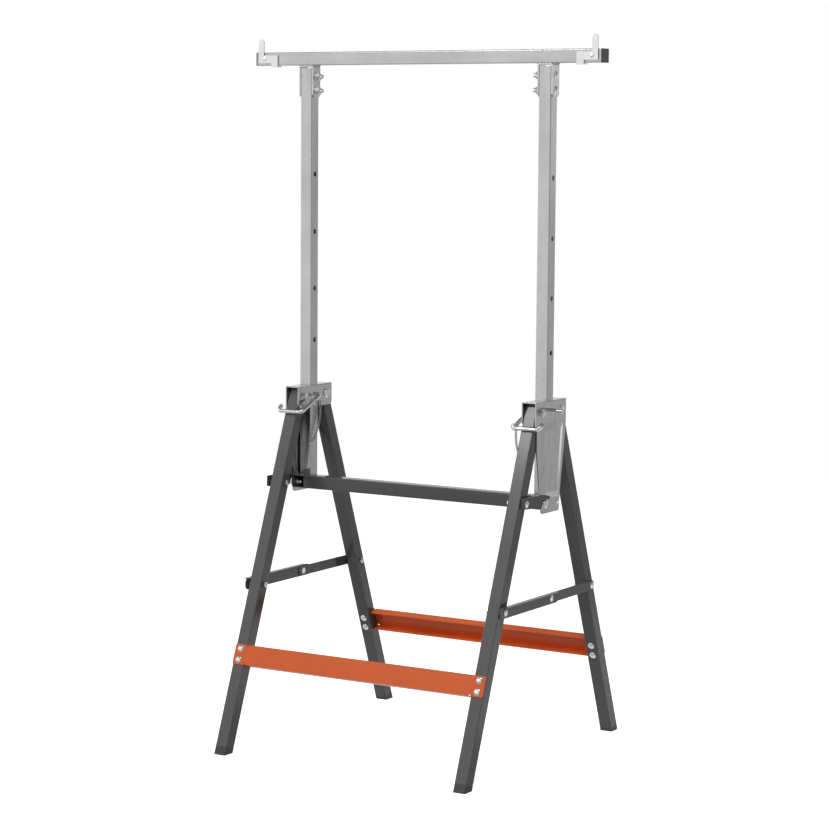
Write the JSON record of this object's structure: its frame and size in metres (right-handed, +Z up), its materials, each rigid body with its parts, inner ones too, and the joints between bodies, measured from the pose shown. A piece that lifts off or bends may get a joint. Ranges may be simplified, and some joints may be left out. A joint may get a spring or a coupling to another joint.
{
  "type": "builders trestle",
  "caption": "Folding builders trestle: A-frame stand of square tube with telescopic posts, a top beam with fold-down end stops, pins, hooks and stays.",
  "frame": {"origin": "on the floor, under the middle of the beam", "axes": "+X along the beam, left to right seen from the front; -Y is the front; +Z is up"},
  "size_m": [0.744, 0.5924, 1.3259],
  "materials": {
    "galvanised_steel": "bright galvanised sheet and tube, soft sheen with faint drawing lines",
    "zinc_fasteners": "bright zinc plate on bolts, nuts, pins and chains",
    "grey_paint": "dark grey powder coat, glossy",
    "orange_paint": "orange powder coat, satin",
    "black_plastic": "moulded black plastic, matte",
    "bright_stop_steel": "bright zinc plated sheet"
  },
  "bodies": {
    "head_frame": {"head_bracket_left": "galvanised_steel", "head_bracket_right": "galvanised_steel", "head_bolts_front": "zinc_fasteners", "head_bolts_rear": "zinc_fasteners", "head_nuts_front": "zinc_fasteners", "crossbar": "grey_paint", "hook_studs": "zinc_fasteners", "hook_stud_nuts": "zinc_fasteners", "lug_rivets": "zinc_fasteners", "chain_left": "zinc_fasteners", "chain_right": "zinc_fasteners"},
    "upper_frame": {"beam": "galvanised_steel", "beam_cap_left": "black_plastic", "beam_cap_right": "black_plastic", "saddle_left": "galvanised_steel", "saddle_right": "galvanised_steel", "saddle_welds": "galvanised_steel", "saddle_bolts": "zinc_fasteners", "saddle_washers": "zinc_fasteners", "saddle_nuts": "zinc_fasteners", "post_left": "galvanised_steel", "post_right": "galvanised_steel", "stop_rivets": "zinc_fasteners"},
    "front_frame": {"front_leg_left": "grey_paint", "front_leg_right": "grey_paint", "front_foot_left": "black_plastic", "front_foot_right": "black_plastic", "front_rail": "orange_paint", "front_rail_bolts": "zinc_fasteners", "front_stay_bolts": "zinc_fasteners", "front_stay_spacers": "zinc_fasteners", "hook_pivot_bolts": "zinc_fasteners", "hook_spacers": "zinc_fasteners", "front_frame_nuts": "zinc_fasteners"},
    "rear_frame": {"rear_leg_left": "grey_paint", "rear_leg_right": "grey_paint", "rear_foot_left": "black_plastic", "rear_foot_right": "black_plastic", "rear_rail": "orange_paint", "rear_rail_bolts": "zinc_fasteners", "rear_stay_bolts": "zinc_fasteners", "rear_stay_spacers": "zinc_fasteners", "rear_frame_nuts": "zinc_fasteners"},
    "hook_left": {"hook_left": "grey_paint"},
    "stay_front_left": {"stay_front_left": "grey_paint", "stay_rivet_left": "zinc_fasteners"},
    "stay_rear_left": {"stay_rear_left": "grey_paint", "stay_rivet_tail_left": "zinc_fasteners"},
    "pin_left": {"pin_left": "zinc_fasteners"},
    "stop_left": {"stop_left": "bright_stop_steel"},
    "hook_right": {"hook_right": "grey_paint"},
    "stay_front_right": {"stay_front_right": "grey_paint", "stay_rivet_right": "zinc_fasteners"},
    "stay_rear_right": {"stay_rear_right": "grey_paint", "stay_rivet_tail_right": "zinc_fasteners"},
    "pin_right": {"pin_right": "zinc_fasteners"},
    "stop_right": {"stop_right": "bright_stop_steel"}
  },
  "joints": [
    {"name": "height", "type": "slide", "parent": "head_frame", "child": "upper_frame", "axis": [0, 0, 1], "range_m": [-0.421, 0]},
    {"name": "front_leg_fold", "type": "hinge", "parent": "head_frame", "child": "front_frame", "pos_m": [0, -0.038, 0.648], "axis": [1, 0, 0], "range_deg": [0, 15.1]},
    {"name": "rear_leg_fold", "type": "hinge", "parent": "head_frame", "child": "rear_frame", "pos_m": [0, 0.038, 0.648], "axis": [-1, 0, 0], "range_deg": [0, 20.7]},
    {"name": "hook_lift_left", "type": "hinge", "parent": "front_frame", "child": "hook_left", "pos_m": [-0.2757, -0.09827, 0.48851], "axis": [1, 0, 0], "range_deg": [0, 85]},
    {"name": "stay_front_fold_left", "type": "hinge", "parent": "front_frame", "child": "stay_front_left", "pos_m": [-0.2743, -0.16854, 0.30254], "axis": [1, 0, 0], "range_deg": [0, 50.77]},
    {"name": "stay_rear_fold_left", "type": "hinge", "parent": "rear_frame", "child": "stay_rear_left", "pos_m": [-0.272, 0.16854, 0.30254], "axis": [-1, 0, 0], "range_deg": [0, 54.69]},
    {"name": "pin_swing_left", "type": "hinge", "parent": "head_frame", "child": "pin_left", "pos_m": [-0.257, 0, 0.649], "axis": [-1, 0, 0], "range_deg": [0, 90], "deforming": ["chain_left"]},
    {"name": "stop_fold_left", "type": "hinge", "parent": "upper_frame", "child": "stop_left", "pos_m": [-0.352, -0.015, 1.288], "axis": [0, 1, 0], "range_deg": [0, 90]},
    {"name": "hook_lift_right", "type": "hinge", "parent": "front_frame", "child": "hook_right", "pos_m": [0.2757, -0.09827, 0.48851], "axis": [1, 0, 0], "range_deg": [0, 85]},
    {"name": "stay_front_fold_right", "type": "hinge", "parent": "front_frame", "child": "stay_front_right", "pos_m": [0.2743, -0.16854, 0.30254], "axis": [1, 0, 0], "range_deg": [0, 50.77]},
    {"name": "stay_rear_fold_right", "type": "hinge", "parent": "rear_frame", "child": "stay_rear_right", "pos_m": [0.272, 0.16854, 0.30254], "axis": [-1, 0, 0], "range_deg": [0, 54.69]},
    {"name": "pin_swing_right", "type": "hinge", "parent": "head_frame", "child": "pin_right", "pos_m": [0.257, 0, 0.649], "axis": [-1, 0, 0], "range_deg": [0, 90], "deforming": ["chain_right"]},
    {"name": "stop_fold_right", "type": "hinge", "parent": "upper_frame", "child": "stop_right", "pos_m": [0.352, -0.015, 1.288], "axis": [0, -1, 0], "range_deg": [0, 90]}
  ],
  "couplings": [
    {"joint": "rear_leg_fold", "follows": "front_leg_fold", "ratio": 1.3709},
    {"joint": "hook_lift_left", "follows": "front_leg_fold", "ratio": 5.6291},
    {"joint": "stay_front_fold_left", "follows": "front_leg_fold", "ratio": 3.362},
    {"joint": "stay_rear_fold_left", "follows": "front_leg_fold", "ratio": 3.6221},
    {"joint": "hook_lift_right", "follows": "front_leg_fold", "ratio": 5.6291},
    {"joint": "stay_front_fold_right", "follows": "front_leg_fold", "ratio": 3.362},
    {"joint": "stay_rear_fold_right", "follows": "front_leg_fold", "ratio": 3.6221}
  ]
}
